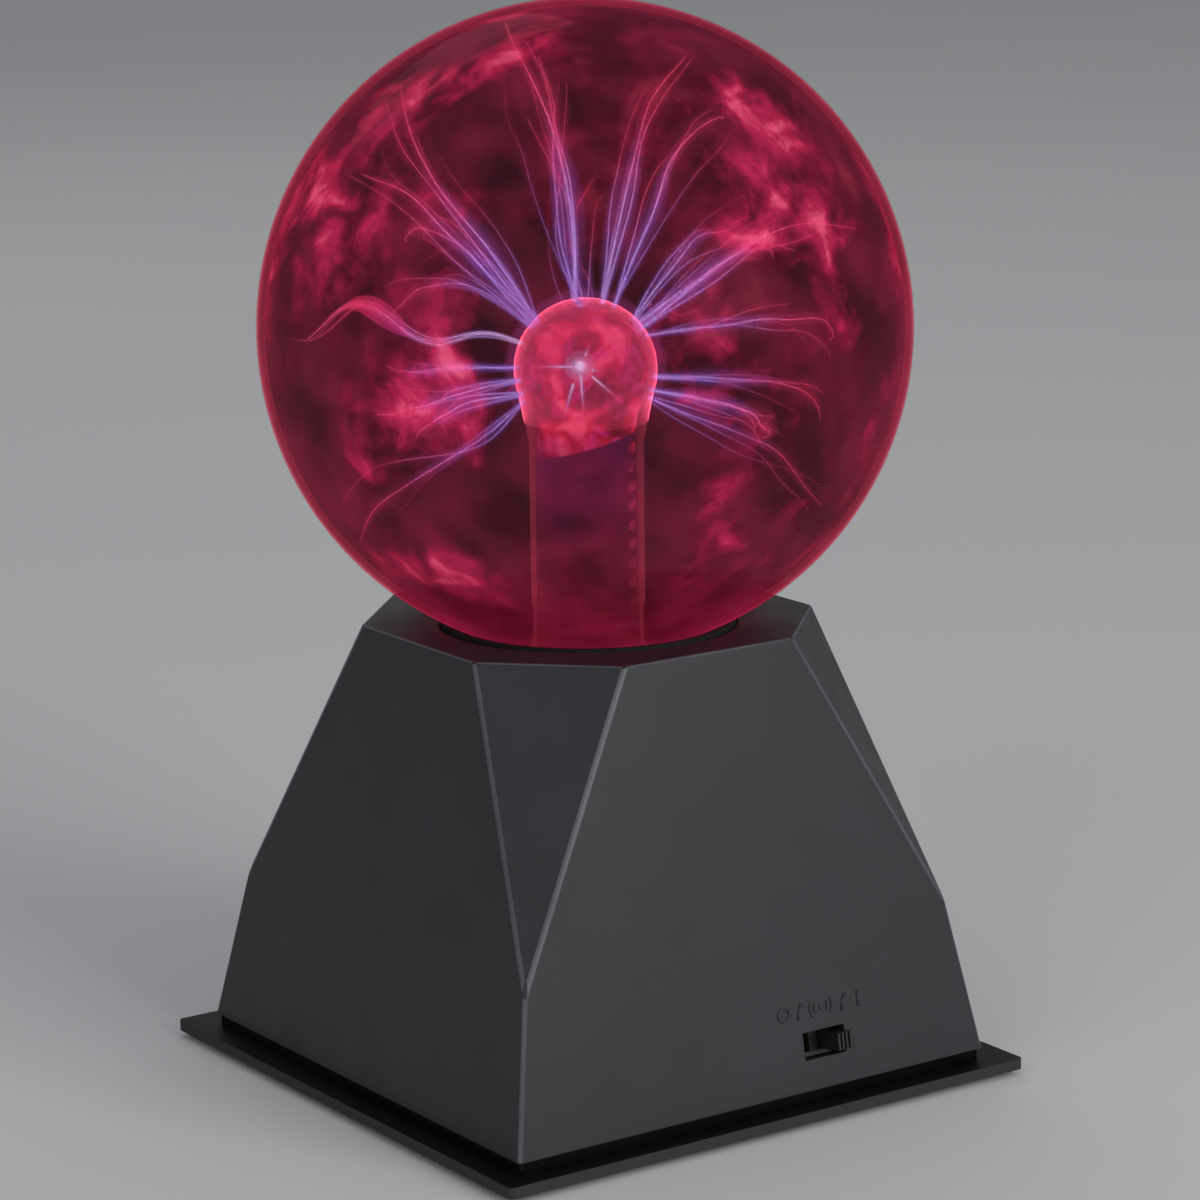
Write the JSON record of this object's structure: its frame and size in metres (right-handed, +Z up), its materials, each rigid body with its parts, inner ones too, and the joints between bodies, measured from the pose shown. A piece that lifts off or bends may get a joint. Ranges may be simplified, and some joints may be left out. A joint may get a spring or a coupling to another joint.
{
  "type": "plasma ball",
  "caption": "Glass plasma globe with a central electrode bulb, on a black tapered base with cut corners, a square foot plate, a slide switch and a power socket.",
  "frame": {"origin": "centre of the footprint, on the surface that the rubber feet stand on", "axes": "+Z up through the globe, -Y out of the front face with the switch, +X to the right seen from the front"},
  "size_m": [0.15, 0.15, 0.2494],
  "materials": {
    "housing_plastic": "satin, finely textured, dark grey",
    "plate_plastic": "glossy black",
    "screw_steel": "zinc plated",
    "foot_rubber": "matt",
    "collar_plastic": "moulded",
    "gasket_foam": "closed-cell foam",
    "globe_glass": "clear glass that glows dark red and pink when the lamp is on",
    "electrode_glass": "clear glass tube and bulb, glowing pink and red",
    "liner_sheet": "dark conductive sheet",
    "plug_rubber": "grey rubber",
    "contact_brass": "phosphor bronze",
    "switch_steel": "tinned steel",
    "knob_plastic": "satin black",
    "phenolic": "brown phenolic board",
    "tinned_brass": "tinned",
    "jack_plastic": "satin black",
    "nut_nickel": "nickel plated",
    "board_laminate": "green solder mask",
    "ferrite": "matt sintered ferrite",
    "coil_tape": "taped copper winding on a bobbin",
    "epoxy_black": "moulded epoxy",
    "sink_aluminium": "extruded",
    "capacitor_sleeve": "shrink sleeve",
    "capacitor_resin": "dipped resin",
    "resistor_lacquer": "lacquered",
    "mic_aluminium": "drawn can",
    "header_nylon": "natural nylon",
    "lead_red": "silicone insulation",
    "lead_black": "vinyl insulation",
    "lead_grey": "vinyl insulation"
  },
  "bodies": {
    "base": {"housing": "housing_plastic", "base_plate": "plate_plastic", "base_screws": "screw_steel", "rubber_feet": "foot_rubber", "neck_collar": "collar_plastic", "collar_screws": "screw_steel", "globe_gasket": "gasket_foam", "globe_glass": "globe_glass", "electrode_glass": "electrode_glass", "electrode_liner": "liner_sheet", "stem_plug": "plug_rubber", "hv_contact_clip": "contact_brass", "switch_frame": "switch_steel", "switch_board": "phenolic", "switch_terminals": "tinned_brass", "switch_screws": "screw_steel", "jack_body": "jack_plastic", "jack_nut": "nut_nickel", "jack_pin": "screw_steel", "jack_terminals": "tinned_brass", "circuit_board": "board_laminate", "board_screws": "screw_steel", "transformer_core": "ferrite", "transformer_coil": "coil_tape", "driver_transistor": "epoxy_black", "heat_sink": "sink_aluminium", "transistor_screw": "screw_steel", "timer_chip": "epoxy_black", "electrolytic_capacitors": "capacitor_sleeve", "film_capacitor": "capacitor_resin", "resistors": "resistor_lacquer", "microphone": "mic_aluminium", "wire_headers": "header_nylon", "hv_lead": "lead_red", "positive_lead": "lead_red", "negative_lead": "lead_black", "switch_leads": "lead_grey"},
    "switch_knob": {"switch_slider": "knob_plastic", "slider_contact": "contact_brass"}
  },
  "joints": [
    {"name": "switch_slide", "type": "slide", "parent": "base", "child": "switch_knob", "axis": [-1, 0, 0], "range_m": [0, 0.007]}
  ]
}
